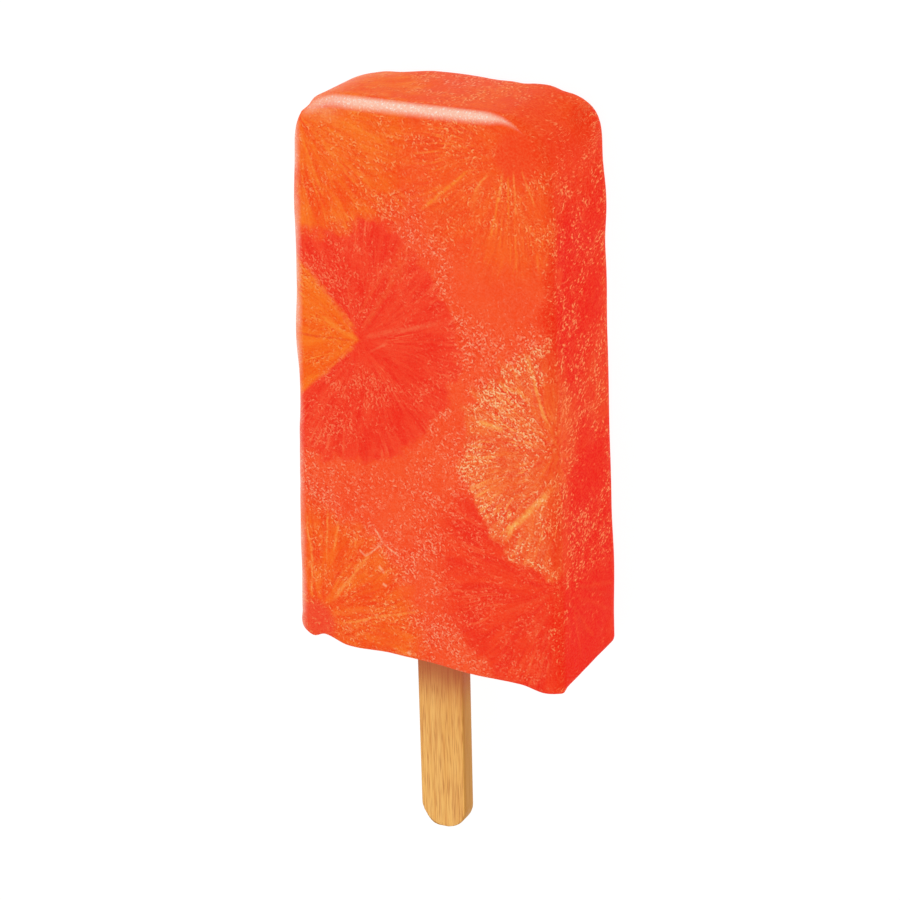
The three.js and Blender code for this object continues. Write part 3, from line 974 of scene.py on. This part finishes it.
def slices_in_ice(tree, common, rounds, citrus, colour, flecks):
    """Lays each slice's flesh over the ice's colour and over its flecks, which are their colour, their
    amount, what they point at and how far they swing from it. Gives the last slice's shares too."""
    fleck, amount, aim, turns = flecks
    for look in rounds:
        facts = {
            **common,
            "Centre": look["centre"],
            "Off centre": look.get("off", (0, 0, 0)),
            "Across": ACROSS[look.get("facing", "front")],
            "Along": (0, 1, 0),
            "Radius": look["radius"],
            "Softness": look["softness"],
        }
        found = add(tree, "Group", facts, node_tree=citrus)
        inside = found["Inside"]
        shades = {0: found["Sectors"], 6: linear(look["dark"]), 7: linear(look["light"])}
        flesh = add(tree, "Mix", shades, **COLOURS)[2]
        gaps = add(tree, "Math", {0: found["Gaps"], 1: look["gaps"]}, operation="MULTIPLY")[0]
        flesh = add(tree, "Mix", {0: gaps, 6: flesh, 7: linear(look["deep"])}, **COLOURS)[2]
        streaks = add(tree, "Math", {0: found["Fibres"], 1: look["fibres"]}, operation="MULTIPLY")[0]
        if "walls" in look:
            walls = {0: found["Membranes"], 1: look["walls"], 2: streaks}
            streaks = add(tree, "Math", walls, operation="MULTIPLY_ADD")[0]
        streaked = add(tree, "Mix", {0: streaks, 6: flesh, 7: linear(look["bright"])}, **COLOURS)[2]
        if "middle" in look:
            cored = {0: found["Middle"], 6: streaked, 7: linear(look["middle"])}
            streaked = add(tree, "Mix", cored, **COLOURS)[2]
        colour = add(tree, "Mix", {0: inside, 6: colour, 7: streaked}, **COLOURS)[2]
        fleck = add(tree, "Mix", {0: inside, 6: fleck, 7: linear(look["fleck"])}, **COLOURS)[2]
        share = look["amount"]
        if "rimmed" in look:
            more = {0: found["Rim"], 1: look["rimmed"], 2: share}
            share = add(tree, "Math", more, operation="MULTIPLY_ADD")[0]
        patches = add(tree, "Math", {0: amount, 1: share}, operation="MULTIPLY")[0]
        amount = add(tree, "Mix", {0: inside, 2: amount, 3: patches}, data_type="FLOAT")[0]
        aim = add(tree, "Mix", {0: inside, 4: aim, 5: look["centre"]}, data_type="VECTOR")[1]
        turns = add(tree, "Mix", {0: inside, 2: turns, 3: SWING}, data_type="FLOAT")[0]
    return colour, (fleck, amount, aim, turns), found


def orange_wedge(tree, split, slice_found, on_front, colour, fleck):
    """The red slice on the front has a wedge of orange flesh on its left, between two rays from its
    middle: it lies below the upper side and above the lower one."""
    x, y, _ = split
    left = add(tree, "Math", {0: RED_MIDDLE[0], 1: x}, operation="SUBTRACT")[0]
    above = add(tree, "Math", {0: y, 1: RED_MIDDLE[1]}, operation="SUBTRACT")[0]
    top = add(tree, "Math", {0: left, 1: WEDGE_RISE}, operation="MULTIPLY")[0]
    low = add(tree, "Math", {0: left, 1: WEDGE_FALL}, operation="MULTIPLY")[0]
    below_top = add(tree, "Math", {0: top, 1: above}, operation="SUBTRACT")[0]
    above_low = add(tree, "Math", {0: above, 1: low}, operation="SUBTRACT")[0]
    within = add(tree, "Math", {0: below_top, 1: above_low}, operation="MINIMUM")[0]
    wedge = add(tree, "MapRange", span(within, -0.4, 1.0), **SOFT)[0]
    shades = {0: slice_found["Sectors"], 6: linear(WEDGE["dark"]), 7: linear(WEDGE["light"])}
    flesh = add(tree, "Mix", shades, **COLOURS)[2]
    fibres = {0: slice_found["Fibres"], 6: flesh, 7: linear(WEDGE["bright"])}
    streaked = add(tree, "Mix", fibres, **COLOURS)[2]
    shown = add(tree, "Math", {0: wedge, 1: on_front}, operation="MULTIPLY")[0]
    share = add(tree, "Math", {0: shown, 1: slice_found["Inside"]}, operation="MULTIPLY")[0]
    colour = add(tree, "Mix", {0: share, 6: colour, 7: streaked}, **COLOURS)[2]
    fleck = add(tree, "Mix", {0: share, 6: fleck, 7: linear(WEDGE["fleck"])}, **COLOURS)[2]
    return colour, fleck


def frost_and_painted_highlight_on_edges(tree, split, point, walls, colour):
    """Powdery frost with a painted highlight on the edge between the front and the tip, which runs out
    towards the right, and a thinner painted sheen with frost along the front's left edge and over the
    tip's left corner."""
    x, y, _ = split
    fine = {"Vector": point, "Scale": 3.0, "Detail": 3.0, "Roughness": 0.7}
    powder = add(tree, "TexNoise", fine)["Fac"]
    patches = add(tree, "TexNoise", {"Vector": point, "Scale": 0.16, "Detail": 2.0})["Fac"]

    # The painted highlight streak on the edge. Towards the right it narrows and sinks onto the front.
    shift = add(tree, "Math", {0: x, 1: -0.025, 2: 0.45}, operation="MULTIPLY_ADD")[0]
    over = add(tree, "Math", {0: walls["From tip"], 1: walls["From front"]}, operation="SUBTRACT")[0]
    shifted = add(tree, "Math", {0: over, 1: shift}, operation="SUBTRACT")[0]
    narrower = add(tree, "MapRange", span(x, 11.5, 22.0, 0.0, 2.0), **SOFT)[0]
    lowered = add(tree, "Math", {0: narrower, 1: -0.45, 2: shifted}, operation="MULTIPLY_ADD")[0]
    off_edge = add(tree, "Math", {0: lowered}, operation="ABSOLUTE")[0]
    off_band = add(tree, "Math", {0: off_edge, 1: narrower}, operation="ADD")[0]
    band = add(tree, "MapRange", span(off_band, 2.1, 0.2), **SOFT)[0]
    # Where the painted highlight shows along the edge: fainter at the left, gone at the right.
    off_left = add(tree, "MapRange", span(x, -22.0, -11.0, 0.4, 1.0))[0]
    off_right = add(tree, "MapRange", span(x, 22.0, 18.0), **SOFT)[0]
    highlight_extent = add(tree, "Math", {0: off_left, 1: off_right}, operation="MULTIPLY")[0]
    only_tip = add(tree, "MapRange", span(y, BAR_LENGTH - 5.5, BAR_LENGTH - 2), **SOFT)[0]

    # The painted sheen, with frost, on the left edge and the left corner.
    left = add(tree, "MapRange", span(walls["From left"], 2.2, 0.4, 0.0, 0.7), **SOFT)[0]
    near_front = add(tree, "MapRange", span(walls["From front"], 3.4, 1.2), **SOFT)[0]
    patched = add(tree, "MapRange", span(patches, 0.35, 0.6, 0.35, 0.95))[0]
    corner = add(tree, "MapRange", span(x, -12.0, -21.0), **SOFT)[0]
    high = add(tree, "MapRange", span(y, BAR_LENGTH - 6, BAR_LENGTH - 2, 0.0, 0.35), **SOFT)[0]

    # Pale painted highlight and sheen with frost grain: the strongest layer counts.
    layers = [(band, highlight_extent, only_tip), (left, near_front, patched), (corner, high, patched)]
    frost_and_highlight = 0.0
    for first, second, third in layers:
        both = add(tree, "Math", {0: first, 1: second}, operation="MULTIPLY")[0]
        layer = add(tree, "Math", {0: both, 1: third}, operation="MULTIPLY")[0]
        frost_and_highlight = add(tree, "Math", {0: frost_and_highlight, 1: layer}, operation="MAXIMUM")[0]
    grains = add(tree, "MapRange", span(powder, 0.35, 0.65, 0.85, 1.1))[0]
    share = add(tree, "Math", {0: frost_and_highlight, 1: grains}, operation="MULTIPLY")[0]
    sparkle = add(tree, "MapRange", span(powder, 0.52, 0.68), **SOFT)[0]
    whites = {0: sparkle, 6: linear(FROST_AND_HIGHLIGHT), 7: linear(HIGHLIGHT_GLINT)}
    white = add(tree, "Mix", whites, **COLOURS)[2]
    return add(tree, "Mix", {0: share, 6: colour, 7: white}, **COLOURS)[2]


def frozen_fruit():
    """The colour, relief and roughness of the whole bar."""
    gives = [("Colour", "Color"), ("Relief", "Float"), ("Roughness", "Float")]
    tree, _ = new_group("frozen fruit", [], gives)
    point = point_in_bar(tree)
    split = add(tree, "SeparateXYZ", {0: point})
    walls = add(tree, "Group", {"Point": point}, node_tree=walls_of_bar())
    on_front = add(tree, "MapRange", span(walls["From front"], 9.0, 4.0))[0]

    # The juice between the slices.
    cloudy = add(tree, "TexNoise", {"Vector": point, "Scale": 0.11, "Detail": 3.0})["Fac"]
    cloud = add(tree, "MapRange", span(cloudy, 0.35, 0.65))[0]
    juices = {0: cloud, 6: linear(JUICE_DEEP), 7: linear(JUICE_PALE)}
    colour = add(tree, "Mix", juices, **COLOURS)[2]
    ragged = {"Vector": point, "Scale": 0.2, "Detail": 3.0, "Roughness": 0.7}
    patchy = add(tree, "TexNoise", ragged)["Fac"]
    amount = add(tree, "MapRange", span(patchy, 0.36, 0.62, 0.22, 0.95))[0]

    # What all slices have in common: how their rays bend, how their rims wander, and where they
    # have strong fibres.
    wander = add(tree, "TexNoise", {"Vector": point, "Scale": 0.28, "Detail": 3.0})["Fac"]
    sparse = add(tree, "TexNoise", {"Vector": point, "Scale": 0.2, "Detail": 1.0})["Fac"]
    common = {
        "Point": point,
        "Bends": drift(tree, point, 0.12, 0.0, (2.4, 2.4, 2.4)),
        "Wander": add(tree, "Math", {0: wander, 1: 8.0, 2: -4.0}, operation="MULTIPLY_ADD")[0],
        "Where": add(tree, "MapRange", span(sparse, 0.42, 0.6, 0.15, 1.0))[0],
    }
    citrus = citrus_round()
    far_below = (0.0, -500.0, 0.0)
    flecks = (linear(JUICE_FLECK), amount, far_below, 2 * math.pi)
    colour, flecks, red_slice = slices_in_ice(tree, common, ROUNDS, citrus, colour, flecks)
    colour, fleck = orange_wedge(tree, split, red_slice, on_front, colour, flecks[0])
    flecks = (fleck, *flecks[1:])
    colour, flecks, _ = slices_in_ice(tree, common, [TOP_ROUND], citrus, colour, flecks)
    fleck, amount, aim, turns = flecks

    # Strong fibres. A fine noise makes them wander and breaks them up.
    waves = drift(tree, point, 0.3, 2.0, (1.0, 1.0, 0))
    wavy_point = add(tree, "VectorMath", {0: point, 1: waves}, operation="ADD")[0]
    broken = add(tree, "TexNoise", {"Vector": point, "Scale": 1.3, "Detail": 2.0})["Fac"]
    strength = add(tree, "MapRange", span(broken, 0.3, 0.6, 0.3, 1.0))[0]
    for_front = add(tree, "Math", {0: strength, 1: on_front}, operation="MULTIPLY")[0]
    ray = ray_of_flesh()
    colour = draw_rays(tree, ray, RAYS, wavy_point, for_front, colour)

    # The right wall is redder, most of all far from the front, and its frost lies in patches.
    off_right = {0: cloudy, 1: 7.0, 2: walls["From right"]}
    uneven = add(tree, "Math", off_right, operation="MULTIPLY_ADD")[0]
    on_right = add(tree, "MapRange", span(uneven, 6.0, 3.6), **SOFT)[0]
    deep = add(tree, "MapRange", span(walls["From front"], 0.5, 6.0, 0.45, 0.95))[0]
    deeper = by_spots(tree, point, RED_SPOTS, deep)
    redder = add(tree, "Math", {0: on_right, 1: deeper}, operation="MULTIPLY")[0]
    colour = add(tree, "Mix", {0: redder, 6: colour, 7: linear(WALL_RED)}, **COLOURS)[2]
    for_wall = add(tree, "Math", {0: strength, 1: on_right}, operation="MULTIPLY")[0]
    colour = draw_rays(tree, ray, WALL_RAYS, wavy_point, for_wall, colour, on_side=True)
    fleck = add(tree, "Mix", {0: on_right, 6: fleck, 7: linear(WALL_FLECK)}, **COLOURS)[2]
    patchy_wall = add(tree, "MapRange", span(patchy, 0.4, 0.6, 0.22, 0.85))[0]
    amount = add(tree, "Mix", {0: on_right, 2: amount, 3: patchy_wall}, data_type="FLOAT")[0]
    amount = by_spots(tree, point, SPOTS, amount)

    # The tip's right corner is clear and deep in colour.
    off_corner = add(tree, "VectorMath", {0: point, 1: (24, 101, 12)}, operation="DISTANCE")["Value"]
    by_corner = add(tree, "MapRange", span(off_corner, 17.0, 8.0, 0.0, 0.7), **SOFT)[0]
    colour = add(tree, "Mix", {0: by_corner, 6: colour, 7: linear(CORNER_RED)}, **COLOURS)[2]

    # Fine crystals make the ice slightly uneven in colour everywhere.
    grain = add(tree, "TexNoise", {"Vector": point, "Scale": 2.6, "Detail": 1.0})["Fac"]
    grains = add(tree, "MapRange", span(grain, 0.35, 0.7, 0.0, 0.1))[0]
    colour = add(tree, "Mix", {0: grains, 6: colour, 7: fleck}, **COLOURS)[2]

    # The walls are rippled by the frost that grew on them: pale crests and deeper hollows, 0.5 mm
    # across.
    curled = {"Vector": walls["Sheet"], "Scale": 1.6, "Detail": 1.5, "Distortion": 1.4}
    ripple = add(tree, "TexNoise", curled, noise_dimensions="2D")["Fac"]
    crest = add(tree, "MapRange", span(ripple, 0.5, 0.72, 0.0, 0.45))[0]
    hollow = add(tree, "MapRange", span(ripple, 0.5, 0.3, 0.0, 0.6))[0]
    crest_share = add(tree, "Math", {0: crest, 1: amount}, operation="MULTIPLY")[0]
    colour = add(tree, "Mix", {0: crest_share, 6: colour, 7: fleck}, **COLOURS)[2]
    hollow_share = add(tree, "Math", {0: hollow, 1: amount}, operation="MULTIPLY")[0]
    colour = add(tree, "Mix", {0: hollow_share, 6: colour, 7: linear(HOLLOW_RED)}, **COLOURS)[2]

    # Flecks lie every way in the juice, and roughly towards the middle in a slice.
    outward = add(tree, "VectorMath", {0: walls["Sheet"], 1: aim}, operation="SUBTRACT")[0]
    aim_x, aim_y, _ = add(tree, "SeparateXYZ", {0: outward})
    heading = add(tree, "Math", {0: aim_y, 1: aim_x}, operation="ARCTAN2")[0]
    flecks_kind = ice_flecks()
    for cells, shift, half_length, half_thickness in FLECK_LAYERS:
        facts = {"Sheet": walls["Sheet"], "Cells": cells, "Shift": shift, "Amount": amount}
        sizes = {"Half length": half_length, "Half thickness": half_thickness}
        ways = {"Heading": heading, "Turns": turns}
        layer, shadow = add(tree, "Group", {**facts, **sizes, **ways}, node_tree=flecks_kind)
        dimmed = add(tree, "Math", {0: shadow, 1: SHADOW_SHARE}, operation="MULTIPLY")[0]
        colour = add(tree, "Mix", {0: dimmed, 6: colour, 7: linear(SHADOW_RED)}, **COLOURS)[2]
        bright = add(tree, "Math", {0: layer, 1: FLECK_SHARE}, operation="MULTIPLY")[0]
        colour = add(tree, "Mix", {0: bright, 6: colour, 7: fleck}, **COLOURS)[2]
    # Painted highlight and sheen, with frost, on the tip's front edge and the left edge.
    colour = frost_and_painted_highlight_on_edges(tree, split, point, walls, colour)

    roughness = add(tree, "MapRange", span(ripple, 0.3, 0.7, 0.38, 0.5))[0]
    relief = add(tree, "Math", {0: grain, 1: 0.4, 2: ripple}, operation="MULTIPLY_ADD")[0]
    add(tree, "NodeGroupOutput", {"Colour": colour, "Relief": relief, "Roughness": roughness})
    return tree


def frozen(name, pattern):
    """Water ice with a thin film of melt: its colour lies in it, and light glances softly off the
    film."""
    material, tree = new_material(name)
    colour, height, roughness = add(tree, "Group", node_tree=pattern)
    relief = add(tree, "Bump", {"Height": height, "Strength": 0.5, "Distance": 0.0001})[0]
    facts = {"Base Color": colour, "Roughness": roughness, "Normal": relief}
    surface = add(tree, "BsdfPrincipled", {**facts, "IOR": 1.31, "Specular IOR Level": 0.03})[0]
    add(tree, "OutputMaterial", {"Surface": surface})
    return material


# ---------------------------------------------------------------- the stick's birch


def birch():
    """Birch veneer, die-cut and tumbled smooth, with fine grain along it. Juice stains it by the bar,
    where the bar's shadow is painted in too, and its cut sides are darker from end grain and painted
    shade."""
    material, tree = new_material("tumbled birch veneer")
    point = point_in_bar(tree)
    x, y, _ = add(tree, "SeparateXYZ", {0: point})

    # Bands of early and late wood about 2 mm apart, fine grain lines every 0.4 mm, some 20 mm long,
    # and short cut pores some 5 mm long.
    bands_at = add(tree, "VectorMath", {0: point, 1: (0.5, 0.02, 0.5)}, operation="MULTIPLY")[0]
    broad = {"Vector": bands_at, "Scale": 1.0, "Detail": 4.0, "Roughness": 0.6}
    bands = add(tree, "TexNoise", broad)["Fac"]
    band = add(tree, "MapRange", span(bands, 0.35, 0.65))[0]
    colour = add(tree, "Mix", {0: band, 6: linear("eaaa54"), 7: linear("f8c06a")}, **COLOURS)[2]
    pores_at = add(tree, "VectorMath", {0: point, 1: (4.2, 0.07, 4.2)}, operation="MULTIPLY")[0]
    pores = add(tree, "TexNoise", {"Vector": pores_at, "Scale": 1.0, "Detail": 2.0})["Fac"]
    pore = add(tree, "MapRange", span(pores, 0.46, 0.7, 0.0, 0.6))[0]
    colour = add(tree, "Mix", {0: pore, 6: colour, 7: linear("c0682a")}, **COLOURS)[2]
    cuts_at = add(tree, "VectorMath", {0: point, 1: (5.5, 0.2, 5.5)}, operation="MULTIPLY")[0]
    cuts = add(tree, "TexNoise", {"Vector": cuts_at, "Scale": 1.0, "Detail": 1.0})["Fac"]
    cut_pore = add(tree, "MapRange", span(cuts, 0.55, 0.7, 0.0, 0.6))[0]
    colour = add(tree, "Mix", {0: cut_pore, 6: colour, 7: linear("b0622a")}, **COLOURS)[2]
    pale = add(tree, "MapRange", span(cuts, 0.42, 0.3, 0.0, 0.4))[0]
    colour = add(tree, "Mix", {0: pale, 6: colour, 7: linear("fbc974")}, **COLOURS)[2]

    # The ends show darker end grain, and the cut sides are darker too: partly their end grain, partly
    # painted shade of the sides turned from the light.
    from_middle = add(tree, "Math", {0: x, 1: STICK_ASIDE}, operation="SUBTRACT")[0]
    out = add(tree, "Math", {0: from_middle}, operation="ABSOLUTE")[0]
    end_starts = STICK_WIDTH / 2 - STICK_OUT
    over_round = add(tree, "Math", {0: end_starts, 1: y}, operation="SUBTRACT")[0]
    past_end = add(tree, "Math", {0: over_round, 1: 0.0}, operation="MAXIMUM")[0]
    reach = add(tree, "CombineXYZ", {"X": out, "Y": past_end})[0]
    from_line = add(tree, "VectorMath", {0: reach}, operation="LENGTH")["Value"]
    cut = STICK_WIDTH / 2 - 0.1
    grain_and_shade_at_cut = add(tree, "MapRange", span(from_line, cut - 0.25, cut), **SOFT)[0]
    grain_and_shade_share = add(tree, "Math", {0: grain_and_shade_at_cut, 1: 0.75}, operation="MULTIPLY")[0]
    colour = add(tree, "Mix", {0: grain_and_shade_share, 6: colour, 7: linear("b2761c")}, **COLOURS)[2]

    # Juice soaked in next to the bar, with the shadow of the bar's foot painted in there as well.
    stain_and_shadow = add(tree, "MapRange", span(y, -16.0, -6.0, 0.0, 0.85), **SOFT)[0]
    colour = add(tree, "Mix", {0: stain_and_shadow, 6: colour, 7: linear("ac5028")}, **COLOURS)[2]

    relief = add(tree, "Bump", {"Height": pores, "Strength": 0.35, "Distance": 0.0001})[0]
    facts = {"Base Color": colour, "Roughness": 0.62, "IOR": 1.5, "Specular IOR Level": 0.3}
    surface = add(tree, "BsdfPrincipled", {**facts, "Normal": relief})[0]
    add(tree, "OutputMaterial", {"Surface": surface})
    return material


def give_finish(piece, material):
    """Makes this material the piece's only one."""
    piece.data.materials.clear()
    piece.data.materials.append(material)


pattern = frozen_fruit()
give_finish(skin, frozen("frozen citrus juice", pattern))
orange_flesh = frozen("frozen orange flesh", pattern)
blood_orange_flesh = frozen("frozen blood orange flesh", pattern)
for piece in pieces:
    give_finish(piece, orange_flesh if "orange" in piece.name else blood_orange_flesh)
give_finish(stick, birch())

# ---------------------------------------------------------------- floor, light and camera

WHITE = (1, 1, 1, 1)
FLOOR_SIZE = 8  # metres
FLOOR_GLOW = 0.95
ROOM_LIGHT = 0.66
LAMPS_AIM = Vector((0, 0.02, 0.012))
LENS = 99.5
CAMERA_AT = place(194.65, 219.72, 365.46)
CAMERA_RIGHT = (0.87973, -0.02229, -0.47496)
CAMERA_UP = (-0.17784, 0.91097, -0.37215)
CAMERA_BACK = (0.44097, 0.41186, 0.79744)


def lit_acrylic():
    """A sheet of white acrylic lit from below: even and bright, and it takes hardly any shadow."""
    material, tree = new_material("lit white acrylic")
    glow = {"Emission Color": WHITE, "Emission Strength": FLOOR_GLOW}
    facts = {"Base Color": (0.08, 0.08, 0.08, 1), "Roughness": 0.9}
    surface = add(tree, "BsdfPrincipled", {**facts, **glow})[0]
    add(tree, "OutputMaterial", {"Surface": surface})
    return material


take_up(None)
bpy.ops.mesh.primitive_plane_add(size=FLOOR_SIZE, location=(0, 0, 0))
floor = bpy.context.object
floor.name = "floor"
give_finish(floor, lit_acrylic())

world = bpy.data.worlds.new("studio")
bpy.context.scene.world = world
world.use_nodes = True
room = world.node_tree.nodes["Background"].inputs
room["Color"].default_value = WHITE
room["Strength"].default_value = ROOM_LIGHT


def lamp(name, at, size, power):
    """A soft rectangular lamp that looks at the bar's middle."""
    light = bpy.data.lights.new(name, "AREA")
    light.shape = "RECTANGLE"
    light.size, light.size_y = size
    light.energy = power
    holder = bpy.data.objects.new(name, light)
    bpy.context.collection.objects.link(holder)
    holder.location = at
    holder.rotation_euler = (LAMPS_AIM - holder.location).to_track_quat("-Z", "Y").to_euler()


lamp("tip softbox", (-0.40, 0.72, 0.38), (0.7, 0.22), 1.0)
lamp("overhead softbox", (-0.2, -0.1, 1.1), (0.8, 0.8), 3.4)
lamp("side softbox", (0.8, -0.05, 0.25), (0.6, 0.5), 0.9)

camera = bpy.data.objects.new("camera", bpy.data.cameras.new("camera"))
bpy.context.collection.objects.link(camera)
camera.data.lens = LENS
camera.data.clip_start = 0.01
turned = Matrix((CAMERA_RIGHT, CAMERA_UP, CAMERA_BACK)).transposed().to_4x4()
camera.matrix_world = Matrix.Translation(CAMERA_AT) @ turned
bpy.context.scene.camera = camera
bpy.context.scene.view_settings.view_transform = "Standard"
